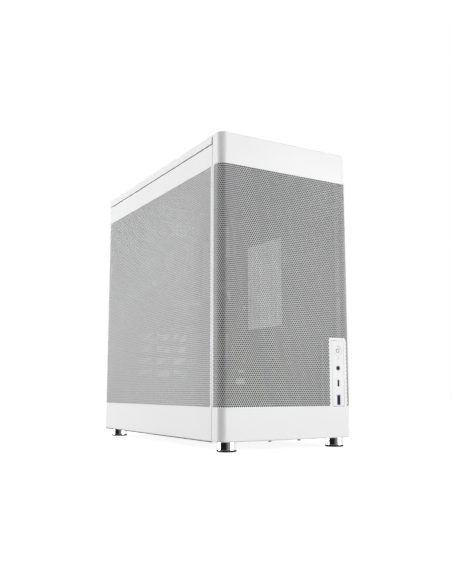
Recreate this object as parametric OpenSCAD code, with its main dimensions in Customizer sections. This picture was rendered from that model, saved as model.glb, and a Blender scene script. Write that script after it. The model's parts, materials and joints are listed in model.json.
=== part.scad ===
// Desktop computer tower with perforated panels, as an assembly of separate pieces.
// Millimetres. Front faces -Y, +X is on the right seen from the front, +Z is up, floor at z = 0.

/* [Body] */
// Outside width of the body
body_w = 200; // [198:1:204]
// Outside depth of the body
body_d = 378; // [376:1:384]
// Height of the body without its feet
body_h = 380; // [378:1:390]
// Thickness of the outer steel panels
skin = 1.2; // [1:0.1:1.5]
// Thickness of the chassis sheet
sheet = 1; // [0.8:0.1:1.2]
// Gap between neighbouring outer panels
seam = 0.8; // [0.6:0.1:1.2]
// Depth of the front panel's wrap round the corners
wrap = 20; // [18:1:22]
// Outside radius of the front corners
corner_r = 10; // [8:1:12]
// Height of the top cover's skirt
skirt = 11; // [10:1:12]
// Width of the folded edge of a side panel
hem = 5; // [4:0.5:5]
// How far the rear wall lies inside the rear edges
rear_recess = 8; // [7:0.5:9]

/* [Feet] */
// Height of a foot
foot_h = 12; // [11:1:14]
// Diameter of a foot ring
foot_d = 24.5; // [22:0.5:26]
// Distance of a foot from the middle, across
foot_x = 81.4; // [80:0.2:81.4]
// Distance of a foot from the middle, front to rear
foot_y = 173; // [172:0.5:174]

/* [Front sockets] */
// Centre of the socket strip, across
strip_x = 77.8; // [77:0.2:78.4]
// Lower end of the socket strip above the floor
strip_z = 52.3; // [51:0.1:53]
// Width of the socket strip
strip_w = 19; // [18.6:0.2:19.4]
// Height of the socket strip
strip_h = 84.5; // [84:0.5:85]
// Travel of the power button
power_travel = 1.2; // [0.8:0.1:1.2]
// Travel of the reset button
reset_travel = 0.8; // [0.5:0.1:0.8]

/* [Board] */
// Height of the motherboard
board_h = 226; // [226:1:230]
// Depth of the motherboard
board_d = 173; // [170:1:173]
// Lower edge of the motherboard above the floor
board_z = 110; // [110:0.5:111]
// Distance between expansion slots
slot_pitch = 20.32; // [20.32]

/* [Power supply] */
// Width of the power supply
psu_w = 125; // [125]
// Height of the power supply
psu_h = 63.5; // [63.5]
// Depth of the power supply
psu_d = 130; // [128:1:130]

/* [Hidden] */
$fn = 48;
eps = 0.01;

// Outer planes
x_out = body_w / 2;
y_front = -body_d / 2;
y_back = body_d / 2;
z_low = foot_h;
z_high = foot_h + body_h;
y_seam = y_front + wrap;
z_skirt = z_high - skirt;
z_side = z_skirt - seam;

// Chassis planes
x_in = x_out - skin - hem - 0.3;
z_floor = z_low + skin;
z_roof = z_high - 15;
y_frame = y_seam + 1;
y_wall = y_back - rear_recess;
flange = 18;
column = 13.5;

// Tray and board planes: the board's parts stand towards -X
x_tray = 60;
board_t = 1.6;
x_board = x_tray - 10;
y_board = y_wall - sheet - 1 - board_d;
z_io = 173;
io_w = 44.45;
io_h = 158.75;
x_io = x_board + 0.6 - io_w;
socket_y = 104;
socket_z = 262;

// Power supply place
psu_x = x_tray - 1 - psu_w;
psu_y = y_wall - sheet - psu_d;
psu_cx = psu_x + psu_w / 2;
psu_cy = psu_y + psu_d / 2;
psu_shell = 1;

// Fans
case_fan = 92;
fan_depth = 25;
slim_depth = 15;
psu_fan = 120;
rear_fan_x = -46;
rear_fan_z = 286;

// Cooler planes, outwards from the board
x_chip = x_board - 8;
x_plate = x_chip - 8;
x_fin_low = x_plate - 6;
fin_depth = 20;
x_fin_high = x_fin_low - fin_depth;

// Snap fasteners
cup_h = 4.6;
cup_r = 5;
cup_bore = 3;
ball_r = 1.8;
side_spots = [for (y = [y_frame + 10, y_wall - 11], z = [40, 196, 352]) [y, z]];
front_spots = [for (x = [-1, 1], z = [24, 200, 368]) [x * (x_in - column / 2), z]];
top_spots = [for (x = [-1, 1], y = [-150, 5, 160]) [x * 82, y]];
foot_spots = [for (x = [-1, 1], y = [-1, 1]) [x * foot_x, y * foot_y]];
floor_screw_spots = [for (x = [-22, 22]) [x, y_front + 12]];
strip_ear_z = [strip_z + 12, strip_z + strip_h - 12];
strip_ear_x = strip_x + strip_w / 2 + 2.9;
board_spots = [for (y = [y_board + 8, y_board + board_d - 8], z = [6, 90, 220]) [y, board_z + z]];
fan_hole = 41.25;
slot_zs = [for (i = [0:3]) z_io - slot_pitch / 2 - 0.5 - i * slot_pitch];
slot_screw_x = -64;
psu_holes = [for (x = [psu_x + 5, psu_x + psu_w - 5], z = [6, psu_h - 6]) [x, z_floor + z]];

// Hard drive
drive_w = 101.6;
drive_d = 147;
drive_h = 26.1;
drive_y = -155;
drive_z = z_floor + 6;
cage_h = 36;
drive_spots = [for (x = [-1, 1], y = [drive_y + 28.5, drive_y + 130]) [x, y]];

// Front socket places, as heights above the floor
power_z = 124;
reset_z = 113.7;
jack_z = 101.2;
usb_c_z = 81.8;
usb_a_z = 60.1;
strip_face = 2.5;
strip_wall = 1.3;
y_io_board = y_front + 14;
power_r = 6;
reset_r = 1.8;

// ---------- shared shapes ----------

// A box given by its lowest and highest corners
module block(low, high) {
    translate(low) cube(high - low);
}

// A rod along one axis: way is "x", "y" or "z", and it starts at p
module rod(p, r, length, way) {
    turn = way == "x" ? [0, 90, 0] : way == "y" ? [-90, 0, 0] : [0, 0, 0];
    translate(p) rotate(turn) cylinder(r = r, h = length);
}

// Plan of a box with rounded front corners, front edge on y = 0
module round_front(w, d, r) {
    union() {
        translate([-w / 2, r]) square([w, d - r]);
        translate([-w / 2 + r, 0]) square([w - 2 * r, r + eps]);
        for (x = [-1, 1]) translate([x * (w / 2 - r), r]) circle(r = r);
    }
}

// Upright slot with round ends, in the X-Z plane, cut along +Y
module slot_y(x, z, w, h, y0, y1) {
    block([x - w / 2, y0, z - h / 2 + w / 2], [x + w / 2, y1, z + h / 2 - w / 2]);
    for (s = [-1, 1]) rod([x, y0, z + s * (h - w) / 2], w / 2, y1 - y0, "y");
}

// Smooth curve through points: Catmull-Rom steps between each pair
function curve_point(a, b, c, d, t) =
    0.5 * (2 * b + (c - a) * t + (2 * a - 5 * b + 4 * c - d) * t * t
    + (3 * b - a - 3 * c + d) * t * t * t);
function smooth(p, steps) = concat(
    [for (i = [0:len(p) - 2], k = [0:steps - 1])
        curve_point(p[max(i - 1, 0)], p[i], p[i + 1], p[min(i + 2, len(p) - 1)], k / steps)],
    [p[len(p) - 1]]);
function unit(v) = v / norm(v);

// Round tube along a list of points
module tube(path, r, sides = 8) {
    n = len(path);
    way = [for (i = [0:n - 1]) unit(path[min(i + 1, n - 1)] - path[max(i - 1, 0)])];
    side = [for (w = way) unit(cross(w, abs(w[1]) < 0.8 ? [0, 1, 0] : [1, 0, 0]))];
    points = [for (i = [0:n - 1], k = [0:sides - 1])
        path[i] + r * (cos(360 * k / sides) * side[i]
        + sin(360 * k / sides) * cross(way[i], side[i]))];
    walls = [for (i = [0:n - 2], k = [0:sides - 1])
        [i * sides + k, i * sides + (k + 1) % sides, (i + 1) * sides + (k + 1) % sides,
        (i + 1) * sides + k]];
    ends = [[for (k = [sides - 1:-1:0]) k], [for (k = [0:sides - 1]) (n - 1) * sides + k]];
    polyhedron(points = points, faces = concat(walls, ends), convexity = 6);
}

// Snap stud standing along +Z from a panel; gap is the way to its socket's mouth
module snap_stud(gap) {
    cylinder(r = 3, h = gap - 0.3);
    cylinder(r = 1.2, h = gap + 1.9);
    translate([0, 0, gap + 1.9]) sphere(r = ball_r);
}

// Socket for a snap stud, standing along +Z
module snap_socket() {
    difference() {
        cylinder(r = cup_r, h = cup_h);
        translate([0, 0, 0.6]) cylinder(r = cup_bore, h = cup_h);
    }
}

// Machine screw with its head above z = 0 and its shaft below
module screw(head_r, head_h, shaft_r, shaft) {
    cylinder(r = head_r, h = head_h);
    translate([0, 0, -shaft]) cylinder(r = shaft_r, h = shaft + eps);
}

// Axial fan's frame on z = 0 to depth, its four spokes on the z = 0 side
module fan_frame(size, depth, bore, hole, hub) {
    difference() {
        translate([-size / 2, -size / 2, 0]) cube([size, size, depth]);
        translate([0, 0, -1]) cylinder(r = bore, h = depth + 2);
        for (x = [-1, 1], y = [-1, 1])
            translate([x * hole, y * hole, -1]) cylinder(r = 2.2, h = depth + 2);
    }
    difference() {
        union() {
            linear_extrude(2.5) {
                circle(r = hub);
                for (a = [45:90:315]) rotate(a) translate([hub - 1, -2])
                    square([bore - hub + 1.5, 4]);
            }
            translate([0, 0, 2.4]) cylinder(r = 4, h = depth * 0.6 - 2.4);
        }
        translate([0, 0, 1]) cylinder(r = 1.55, h = depth);
    }
}

// Rotor that runs in fan_frame
module fan_rotor(depth, bore, hub, blades) {
    tip = bore - 1.8;
    high = depth - 0.8;
    difference() {
        translate([0, 0, 3.2]) cylinder(r = hub, h = high - 3.2);
        translate([0, 0, 3]) cylinder(r = hub - 2, h = high - 5);
    }
    translate([0, 0, 1.5]) cylinder(r = 1.5, h = high - 2.5);
    chord = (high - 4) / cos(52);
    for (i = [0:blades - 1]) rotate([0, 0, i * 360 / blades])
        translate([hub - 1, 0, (high + 3.2) / 2]) rotate([52, 0, 0])
            translate([0, -0.8, -chord / 2]) cube([tip - hub - 1, 1.6, chord]);
}

// ---------- outer panels ----------

module front_panel() {
    color("white") difference() {
        union() {
            translate([0, y_front, z_low]) linear_extrude(body_h) difference() {
                round_front(body_w, wrap - seam, corner_r);
                translate([0, skin])
                    round_front(body_w - 2 * skin, wrap, corner_r - skin);
            }
            translate([0, y_front, z_high - skin]) linear_extrude(skin)
                round_front(body_w, wrap - seam, corner_r);
        }
        block([strip_x - strip_w / 2 - 0.4, y_front - 1, strip_z - 0.4],
            [strip_x + strip_w / 2 + 0.4, y_front + 3, strip_z + strip_h + 0.4]);
    }
}

module front_studs() {
    gap = y_frame - cup_h - (y_front + skin);
    color("gray") for (p = front_spots)
        translate([p[0], y_front + skin, p[1]]) rotate([-90, 0, 0]) snap_stud(gap);
}

// Side panel on the +X side: a plate with its four edges folded inwards
module side_panel() {
    color("white") difference() {
        block([x_out - skin - hem, y_seam, z_low], [x_out, y_back, z_side]);
        block([x_out - skin - hem - 1, y_seam + skin, z_low + skin],
            [x_out - skin, y_back - skin, z_side - skin]);
    }
}

module side_studs() {
    gap = x_out - skin - x_in - cup_h;
    color("gray") for (p = side_spots)
        translate([x_out - skin, p[0], p[1]]) rotate([0, -90, 0]) snap_stud(gap);
}

module right_panel() {
    side_panel();
}

module right_studs() {
    side_studs();
}

module left_panel() {
    mirror([1, 0, 0]) side_panel();
}

module left_studs() {
    mirror([1, 0, 0]) side_studs();
}

module top_cover() {
    color("white") difference() {
        block([-x_out, y_seam, z_skirt], [x_out, y_back, z_high]);
        block([-x_out + skin, y_seam - 1, z_skirt - 1],
            [x_out - skin, y_back - skin, z_high - skin]);
    }
}

module top_studs() {
    gap = z_high - skin - z_roof - sheet - cup_h;
    color("gray") for (p = top_spots)
        translate([p[0], p[1], z_high - skin]) rotate([180, 0, 0]) snap_stud(gap);
}

// ---------- chassis ----------

filter_low = z_low - 3.4;
filter_x = [psu_cx - psu_fan / 2 - 3, psu_cx + psu_fan / 2 + 3];

module chassis_floor() {
    rail = 1;
    color("dimgray") {
        difference() {
            union() {
                block([-x_in, y_front + 3, z_low], [x_in, y_wall, z_floor]);
                for (s = [0, 1]) {
                    outer = s == 0 ? filter_x[0] - 0.4 - rail : filter_x[1] + 0.4;
                    lip = s == 0 ? outer : filter_x[1] - 3;
                    block([outer, psu_y, filter_low - 1], [outer + rail, y_wall, z_low + eps]);
                    block([lip, psu_y, filter_low - 1],
                        [lip + 3.4 + rail, y_wall, filter_low - 0.3]);
                }
            }
            translate([psu_cx, psu_cy, z_low - 1]) cylinder(r = 56, h = 4);
            for (p = foot_spots) translate([p[0], p[1], z_low - 1]) cylinder(r = 2.6, h = 4);
            for (p = floor_screw_spots)
                translate([p[0], p[1], z_low - 1]) cylinder(r = 1.5, h = 4);
            for (x = [-66:12:66], y = [-30:12:30])
                translate([x, y, z_low - 1]) cylinder(r = 2, h = 4);
        }
    }
}

module chassis_front_frame() {
    color("white") difference() {
        union() {
            block([-x_in, y_frame, z_floor], [x_in, y_frame + sheet, z_roof]);
            for (x = [-x_in, x_in - sheet])
                block([x, y_frame, z_floor], [x + sheet, y_frame + flange, z_roof]);
            block([-foot_x + 22, y_front + 5, z_floor], [foot_x - 22, y_frame, z_floor + sheet]);
        }
        block([-x_in + column, y_frame - 1, z_floor + 21],
            [x_tray - 1, y_frame + 2, z_roof - 20]);
        block([strip_x - 5, y_frame - 1, strip_z + 8],
            [strip_x + 5, y_frame + 2, strip_z + strip_h - 20]);
        for (p = floor_screw_spots)
            translate([p[0], p[1], z_floor - 1]) cylinder(r = 1.5, h = 4);
        for (z = strip_ear_z) rod([strip_ear_x, y_frame - 1, z], 1.5, 4, "y");
    }
}

module chassis_rear_wall() {
    y_in = y_wall - sheet;
    color("white") difference() {
        union() {
            difference() {
                union() {
                    block([-x_in, y_in, z_floor], [x_in, y_wall, z_roof]);
                    for (x = [-x_in, x_in - sheet])
                        block([x, y_wall - flange, z_floor], [x + sheet, y_wall, z_roof]);
                }
                block([x_io, y_in - 1, z_io], [x_io + io_w, y_wall + 1, z_io + io_h]);
                block([psu_x + 9, y_in - 1, z_floor + 3],
                    [psu_x + psu_w - 9, y_wall + 1, z_floor + psu_h - 3]);
                for (z = slot_zs)
                    block([-56, y_in - 1, z - 6], [44, y_wall + 1, z + 6]);
                rod([rear_fan_x, y_in - 1, rear_fan_z], 43, 3, "y");
            }
            for (r = [17, 25, 33]) rear_ring(r);
            for (a = [0:45:135]) translate([rear_fan_x, y_in, rear_fan_z])
                rotate([0, a, 0]) translate([-43.5, 0, -1.2]) cube([87, sheet, 2.4]);
            rod([rear_fan_x, y_in, rear_fan_z], 9, sheet, "y");
        }
        for (x = [-1, 1], z = [-1, 1])
            rod([rear_fan_x + x * fan_hole, y_in - 1, rear_fan_z + z * fan_hole], 2.2, 3, "y");
        for (z = slot_zs) rod([slot_screw_x, y_in - 1, z], 1.8, 3, "y");
        for (p = psu_holes) rod([p[0], y_in - 1, p[1]], 2, 3, "y");
        for (x = [14:8:78], z = [346:8:362]) rod([x, y_in - 1, z], 2.4, 3, "y");
        for (x = [-86, -78], z = [100:8:220]) rod([x, y_in - 1, z], 2.4, 3, "y");
    }
}

// One ring of the finger guard punched in the rear wall
module rear_ring(r) {
    translate([rear_fan_x, y_wall - sheet, rear_fan_z]) rotate([-90, 0, 0]) difference() {
        cylinder(r = r + 1.2, h = sheet);
        translate([0, 0, -1]) cylinder(r = r - 1.2, h = 3);
    }
}

module chassis_top_frame() {
    y0 = y_frame + sheet;
    y1 = y_wall - sheet;
    color("white") {
        difference() {
            union() {
                block([-x_in, y_frame, z_roof], [x_in, y_wall, z_roof + sheet]);
                for (x = [-x_in, x_in - sheet])
                    block([x, y_frame + flange + 1, z_roof - 12],
                        [x + sheet, y_wall - flange - 1, z_roof + sheet]);
            }
            for (y = [y0 + 24, 8])
                block([-70, y, z_roof - 1], [70, y + 134, z_roof + 3]);
        }
    }
}

module motherboard_tray() {
    color("white") difference() {
        block([x_tray, y_frame + sheet, z_floor], [x_tray + sheet, y_wall - sheet, z_roof]);
        block([x_tray - 1, y_front + 102, 165], [x_tray + 3, y_board - 1, 294]);
        block([x_tray - 1, socket_y - 40, socket_z - 42],
            [x_tray + 3, socket_y + 40, socket_z + 42]);
        block([x_tray - 1, 15, 82], [x_tray + 3, 50, 104]);
    }
}

module snap_sockets() {
    color("dimgray") {
        for (p = side_spots, s = [-1, 1])
            translate([s * x_in, p[0], p[1]]) rotate([0, s * 90, 0]) snap_socket();
        for (p = front_spots)
            translate([p[0], y_frame, p[1]]) rotate([90, 0, 0]) snap_socket();
        for (p = top_spots) translate([p[0], p[1], z_roof + sheet]) snap_socket();
    }
}

// ---------- feet ----------

pad_h = 2;

module foot_rings() {
    color("silver") for (p = foot_spots) translate([p[0], p[1], pad_h]) difference() {
        cylinder(d = foot_d, h = foot_h - pad_h);
        translate([0, 0, 3]) cylinder(r = 2.6, h = foot_h);
    }
}

module foot_pads() {
    color("black") for (p = foot_spots) translate([p[0], p[1], 0])
        cylinder(d = foot_d - 0.5, h = pad_h);
}

module foot_screws() {
    color("gray") for (p = foot_spots) translate([p[0], p[1], z_floor]) screw(4, 2.6, 2.5, 8);
}

// Domed screws that hold the front frame to the floor and the socket strip to the frame
module frame_screws() {
    color("dimgray") {
        for (p = floor_screw_spots) translate([p[0], p[1], z_low]) rotate([180, 0, 0])
            domed_screw(6);
        for (z = strip_ear_z) translate([strip_ear_x, y_frame - 2, z]) rotate([90, 0, 0])
            domed_screw(6);
    }
}

module domed_screw(shaft) {
    head_r = 2.8;
    intersection() {
        cylinder(r = head_r, h = 3);
        translate([0, 0, -1.6]) sphere(r = 4.2);
    }
    translate([0, 0, -shaft]) cylinder(r = 1.4, h = shaft + eps);
}

// ---------- front socket strip ----------

module io_strip() {
    x0 = strip_x - strip_w / 2;
    x1 = strip_x + strip_w / 2;
    z1 = strip_z + strip_h;
    color("white") difference() {
        union() {
            block([x0, y_front, strip_z], [x1, y_frame, z1]);
            for (z = strip_ear_z)
                block([x1 - eps, y_frame - 2, z - 3.4], [x1 + 6, y_frame, z + 3.4]);
        }
        block([x0 + strip_wall, y_front + strip_face, strip_z + strip_wall],
            [x1 - strip_wall, y_frame + 1, z1 - strip_wall]);
        rod([strip_x, y_front - 1, power_z], power_r + 0.3, 5, "y");
        rod([strip_x, y_front - 1, reset_z], reset_r + 0.3, 5, "y");
        rod([strip_x, y_front - 1, jack_z], 3.25, 5, "y");
        slot_y(strip_x, usb_c_z, 3.8, 9.6, y_front - 1, y_front + 4);
        block([strip_x - 3, y_front - 1, usb_a_z - 6.75],
            [strip_x + 3, y_front + 4, usb_a_z + 6.75]);
        for (z = strip_ear_z) rod([strip_ear_x, y_frame - 3, z], 1.5, 4, "y");
    }
}

module io_board() {
    color("darkgreen") block([strip_x - 7.9, y_io_board, strip_z + strip_wall],
        [strip_x + 7.9, y_io_board + 1.6, strip_z + strip_h - strip_wall]);
    color("silver") for (z = [power_z, reset_z])
        block([strip_x - 3, y_io_board - 2.5, z - 3], [strip_x + 3, y_io_board + eps, z + 3]);
}

module audio_jack() {
    color("black") difference() {
        union() {
            rod([strip_x, y_front + 0.1, jack_z], 3.1, 4, "y");
            block([strip_x - 3.5, y_front + strip_face, jack_z - 3.5],
                [strip_x + 3.5, y_io_board, jack_z + 3.5]);
        }
        rod([strip_x, y_front - 1, jack_z], 1.8, 13, "y");
    }
}

module usb_c_port() {
    color("silver") difference() {
        slot_y(strip_x, usb_c_z, 3.3, 9, y_front + 0.3, y_io_board);
        slot_y(strip_x, usb_c_z, 2.7, 8.4, y_front - 1, y_io_board - 4);
    }
    color("black") block([strip_x - 0.35, y_front + 3, usb_c_z - 3.3],
        [strip_x + 0.35, y_io_board - 3, usb_c_z + 3.3]);
}

module usb_a_port() {
    color("silver") difference() {
        block([strip_x - 2.7, y_front + 0.2, usb_a_z - 6.5],
            [strip_x + 2.7, y_io_board, usb_a_z + 6.5]);
        block([strip_x - 2.4, y_front - 1, usb_a_z - 6.2],
            [strip_x + 2.4, y_io_board - 2, usb_a_z + 6.2]);
    }
    color("navy") block([strip_x + 0.2, y_front + 1.4, usb_a_z - 5.6],
        [strip_x + 2.1, y_io_board - 1, usb_a_z + 5.6]);
}

// Push button: a cap in the strip's face, a collar behind it and a stem to its switch
module button(z, r, collar, stem) {
    y = y_front + 0.2;
    rod([strip_x, y, z], r, 3.2, "y");
    rod([strip_x, y_front + strip_face + 0.3, z], collar, 1, "y");
    rod([strip_x, y + 3, z], 1.2, stem - 3, "y");
}

module power_button() {
    color("white") button(power_z, power_r, power_r + 0.9, 9.4);
}

module reset_button() {
    color("white") button(reset_z, reset_r, reset_r + 0.9, 9.9);
}

// ---------- rear ----------

module slot_covers() {
    color("silver") for (z = slot_zs) difference() {
        union() {
            block([slot_screw_x - 6, y_wall, z - 9.2], [46, y_wall + sheet, z + 9.2]);
            block([45, y_wall, z - 9.2], [46, y_wall + 3, z + 9.2]);
        }
        rod([slot_screw_x, y_wall - 1, z], 1.8, 3, "y");
        for (s = [-3.6, 0, 3.6], x = [-46, -14, 18])
            block([x, y_wall - 1, z + s - 0.9], [x + 24, y_wall + 2, z + s + 0.9]);
    }
}

module slot_screws() {
    color("dimgray") for (z = slot_zs) translate([slot_screw_x, y_wall + sheet, z])
        rotate([-90, 0, 0]) difference() {
            screw(4, 5, 1.7, 4);
            translate([0, 0, 4]) cube([6, 1, 3], center = true);
        }
}

// Screws of the rear fan and of the power supply
module rear_screws() {
    color("dimgray") {
        for (x = [-1, 1], z = [-1, 1])
            translate([rear_fan_x + x * fan_hole, y_wall, rear_fan_z + z * fan_hole])
                rotate([-90, 0, 0]) screw(3.6, 2, 2.1, 9);
        for (p = psu_holes) translate([p[0], y_wall, p[1]])
            rotate([-90, 0, 0]) screw(3.6, 2, 1.8, 6);
    }
}

module rear_fan_frame() {
    color("white") translate([rear_fan_x, y_wall - sheet, rear_fan_z]) rotate([90, 0, 0])
        fan_frame(case_fan, fan_depth, 43, fan_hole, 17);
}

module rear_fan_rotor() {
    color("lightgray") translate([rear_fan_x, y_wall - sheet, rear_fan_z]) rotate([90, 0, 0])
        fan_rotor(fan_depth, 43, 17, 9);
}

// Rear sockets, each [centre z, width along z, height off the board, openings]
// an opening is [offset along z, offset off the board, width, height]
socket_list = [
    [z_io + 141, 17, 30, [[0, 7, 13, 5.4], [0, 20, 13, 5.4]]],
    [z_io + 117, 18, 22, [[0, 6, 15, 5.6], [0, 15, 15, 5.6]]],
    [z_io + 92, 17, 30, [[0, 7, 13, 5.4], [0, 20, 13, 5.4]]],
    [z_io + 66, 17, 31, [[0, 7, 13, 5.4], [0, 19, 12.5, 11]]],
    [z_io + 40, 17, 15, [[0, 7, 13, 5.4]]]
];
audio_z = z_io + 16;
audio_heights = [6.5, 18, 29.5];

module rear_sockets() {
    deep = 20;
    y1 = y_wall + 0.6;
    color("silver") for (s = socket_list) difference() {
        block([x_board - s[2], y1 - deep, s[0] - s[1] / 2], [x_board, y1, s[0] + s[1] / 2]);
        for (o = s[3])
            block([x_board - o[1] - o[3] / 2, y1 - deep + 4, s[0] + o[0] - o[2] / 2],
                [x_board - o[1] + o[3] / 2, y1 + 1, s[0] + o[0] + o[2] / 2]);
    }
    color("black") difference() {
        block([x_board - 35, y1 - deep, audio_z - 6.5], [x_board, y1, audio_z + 6.5]);
        for (h = audio_heights) rod([x_board - h, y1 - deep + 4, audio_z], 1.8, deep, "y");
    }
}

module io_shield() {
    y1 = y_wall - sheet;
    color("silver") difference() {
        block([x_io - 2, y1 - 0.8, z_io - 2], [x_io + io_w + 1.5, y1, z_io + io_h + 2]);
        for (s = socket_list)
            block([x_board - s[2] - 0.3, y1 - 2, s[0] - s[1] / 2 - 0.3],
                [x_board + 0.3, y1 + 1, s[0] + s[1] / 2 + 0.3]);
        block([x_board - 35.3, y1 - 2, audio_z - 6.8], [x_board + 0.3, y1 + 1, audio_z + 6.8]);
    }
}

// ---------- motherboard and what stands on it ----------

module motherboard() {
    color("gainsboro") difference() {
        block([x_board, y_board, board_z], [x_board + board_t, y_board + board_d, board_z + board_h]);
        for (p = board_spots) rod([x_board - 1, p[0], p[1]], 1.8, 4, "x");
    }
}

module standoffs() {
    x0 = x_board + board_t;
    color("goldenrod") for (p = board_spots) difference() {
        rod([x0, p[0], p[1]], 3, x_tray - x0, "x");
        rod([x0 - 1, p[0], p[1]], 1.6, 7, "x");
    }
}

module board_screws() {
    color("silver") for (p = board_spots) translate([x_board, p[0], p[1]])
        rotate([0, -90, 0]) screw(3, 2, 1.5, 6);
}

module processor() {
    color("dimgray") block([x_board - 4, socket_y - 24, socket_z - 28],
        [x_board, socket_y + 24, socket_z + 28]);
    color("silver") block([x_chip, socket_y - 18, socket_z - 18],
        [x_board - 4, socket_y + 18, socket_z + 18]);
}

pipe_ys = [-15, -5, 5, 15];

// Base plate, its bridge and the heat pipes that rise from it into the fins
module cooler_base() {
    color("silver") block([x_plate, socket_y - 22, socket_z - 22],
        [x_chip, socket_y + 22, socket_z + 22]);
    color("silver") block([x_fin_low, socket_y - 20, socket_z - 18],
        [x_plate + eps, socket_y + 20, socket_z + 18]);
    color("peru") for (y = pipe_ys, s = [-1, 1]) {
        rod([x_plate + 4, socket_y + y, socket_z + min(s * 22, s * 34)], 3, 12, "z");
        rod([x_fin_high + 4, socket_y + y, socket_z + s * 34], 3, x_plate - x_fin_high + 3, "x");
        translate([x_plate + 4, socket_y + y, socket_z + s * 34]) sphere(r = 3.2);
    }
}

module cooler_fins() {
    count = 28;
    pitch = 3.2;
    color("silver") for (i = [0:count - 1]) {
        y = socket_y + (i - (count - 1) / 2) * pitch;
        if (min([for (p = pipe_ys) abs(y - socket_y - p)]) > 3.7)
            block([x_fin_high, y - 0.3, socket_z - 45], [x_fin_low, y + 0.3, socket_z + 45]);
        else
            for (r = [[-45, -37.5], [-30.5, 30.5], [37.5, 45]])
                block([x_fin_high, y - 0.3, socket_z + r[0]], [x_fin_low, y + 0.3, socket_z + r[1]]);
    }
}

module cooler_fan_frame() {
    color("white") translate([x_fin_high, socket_y, socket_z]) rotate([0, -90, 0])
        fan_frame(case_fan, slim_depth, 43, fan_hole, 17);
}

module cooler_fan_rotor() {
    color("lightgray") translate([x_fin_high, socket_y, socket_z]) rotate([0, -90, 0])
        fan_rotor(slim_depth, 43, 17, 9);
}

memory_ys = [28, 38];

module board_slots() {
    color("dimgray") {
        for (y = memory_ys)
            block([x_board - 7, y - 3, 193], [x_board, y + 3, 333]);
        for (i = [0, 2]) {
            length = i == 0 ? 89 : 25;
            block([x_board - 11, y_wall - 22 - length, slot_zs[i] - 3.7],
                [x_board, y_wall - 22, slot_zs[i] + 3.7]);
        }
    }
}

module memory_modules() {
    color("silver") for (y = memory_ys)
        block([x_board - 39, y - 2.6, 196.5], [x_board - 7, y + 2.6, 329.5]);
}

// Finned block standing on the board along -X
module heatsink(y0, y1, z0, z1, high, pitch, along_z) {
    low = x_board - 4;
    block([low, y0, z0], [x_board, y1, z1]);
    if (along_z)
        for (y = [y0:pitch:y1 - 1.4])
            block([x_board - high, y, z0], [low + eps, y + 1.4, z1]);
    else
        for (z = [z0:pitch:z1 - 1.4])
            block([x_board - high, y0, z], [low + eps, y1, z + 1.4]);
}

module board_heatsinks() {
    color("lightgray") {
        heatsink(138, 150, 218, 308, 17, 4, false);
        heatsink(20, 58, 122, 160, 10, 4.4, true);
    }
}

module storage_module() {
    z = slot_zs[1];
    color("darkgreen") block([x_board - 3.4, 70, z - 11], [x_board - 2.6, 150, z + 11]);
    color("black") {
        for (y = [76, 98, 120]) block([x_board - 4.6, y, z - 8], [x_board - 3.4, y + 16, z + 8]);
        block([x_board - 4.2, 150, z - 11], [x_board, 156, z + 11]);
        rod([x_board - 2.6, 72, z], 2.5, 2.6, "x");
    }
}

atx_plug = [[x_board - 26, 8, 224], [x_board - 13, 18, 278]];
cpu_plug = [[x_board - 26, 112, 324], [x_board - 13, 131, 334]];

module board_connectors() {
    color("white") for (c = [atx_plug, cpu_plug]) {
        block([x_board - 13, c[0][1], c[0][2]], [x_board, c[1][1], c[1][2]]);
        block([c[0][0], c[0][1] + 1, c[0][2] + 1], [x_board - 13, c[1][1] - 1, c[1][2] - 1]);
    }
    color("black") {
        block([x_board - 9, 8, 170], [x_board, 18, 186]);
        block([x_board - 9, 60, 112], [x_board, 66, 131]);
        for (y = [74, 90]) block([x_board - 9, y, 112], [x_board, y + 10, 117]);
    }
}

module coin_cell() {
    color("silver") rod([x_board - 4.4, 66, 195], 10, 3.2, "x");
    color("black") difference() {
        rod([x_board - 4, 66, 195], 11.5, 4, "x");
        rod([x_board - 4.5, 66, 195], 10, 3.3, "x");
    }
}

// ---------- power supply ----------

module psu_case() {
    t = psu_shell;
    y1 = psu_y + psu_d;
    color("gray") difference() {
        block([psu_x, psu_y, z_floor], [psu_x + psu_w, y1, z_floor + psu_h]);
        block([psu_x + t, psu_y + t, z_floor + t],
            [psu_x + psu_w - t, y1 - t, z_floor + psu_h - t]);
        translate([psu_cx, psu_cy, z_floor - 1]) cylinder(r = 56, h = 3);
        block([psu_inlet_x - 13.8, y1 - 2, psu_inlet_z - 10],
            [psu_inlet_x + 13.8, y1 + 1, psu_inlet_z + 10]);
        block([psu_switch_x - 6.2, y1 - 2, psu_inlet_z - 9.4],
            [psu_switch_x + 6.2, y1 + 1, psu_inlet_z + 9.4]);
        for (x = [0:8], z = [0:5])
            rod([psu_x + 14 + x * 6.4, y1 - 2, z_floor + 14 + z * 7], 2.4, 4, "y");
        for (p = psu_holes) rod([p[0], y1 - 2, p[1]], 2, 4, "y");
    }
}

psu_inlet_x = psu_x + 97;
psu_switch_x = psu_x + 75;
psu_inlet_z = z_floor + 32;

module psu_fan_frame() {
    color("black") translate([psu_cx, psu_cy, z_floor + psu_shell + slim_depth]) mirror([0, 0, 1])
        fan_frame(psu_fan, slim_depth, 57, 52.5, 20);
}

module psu_fan_rotor() {
    color("dimgray") translate([psu_cx, psu_cy, z_floor + psu_shell + slim_depth])
        mirror([0, 0, 1]) fan_rotor(slim_depth, 57, 20, 11);
}

// Wire guard in the power supply's intake
module psu_guard() {
    wire = 0.7;
    color("silver") translate([psu_cx, psu_cy, z_floor + wire]) {
        for (r = [12:11:56]) rotate_extrude() translate([min(r, 55), 0]) circle(r = wire);
        for (a = [0, 90]) rotate([0, 0, a]) translate([-55, 0, 0])
            rotate([0, 90, 0]) cylinder(r = wire * 0.8, h = 110);
    }
}

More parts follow.
